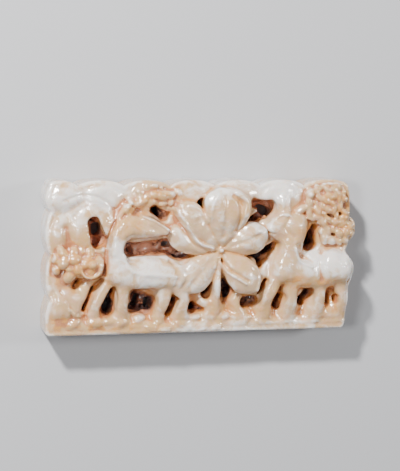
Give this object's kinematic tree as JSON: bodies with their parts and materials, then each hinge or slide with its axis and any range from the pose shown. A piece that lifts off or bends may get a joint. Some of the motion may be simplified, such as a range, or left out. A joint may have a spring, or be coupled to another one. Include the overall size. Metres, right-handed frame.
{
  "type": "openwork jade plaque",
  "caption": "Rectangular openwork jade plaque with scalloped edges, carved in layers with two deer, a six-petalled flower, leaves and knobbly growths over a pierced back layer.",
  "frame": {"origin": "centre of the flat back's bounding rectangle, at the back face, which the plaque lies on", "axes": "+X along the plaque's length, +Y towards its scalloped upper edge, +Z out of the carved face"},
  "size_m": [0.0888, 0.0428, 0.017],
  "materials": {
    "jade": "waxy polish, creamy white with russet skin and brown in the pierced gaps"
  },
  "bodies": {
    "root": {"jade_carving": "jade"}
  },
  "joints": []
}
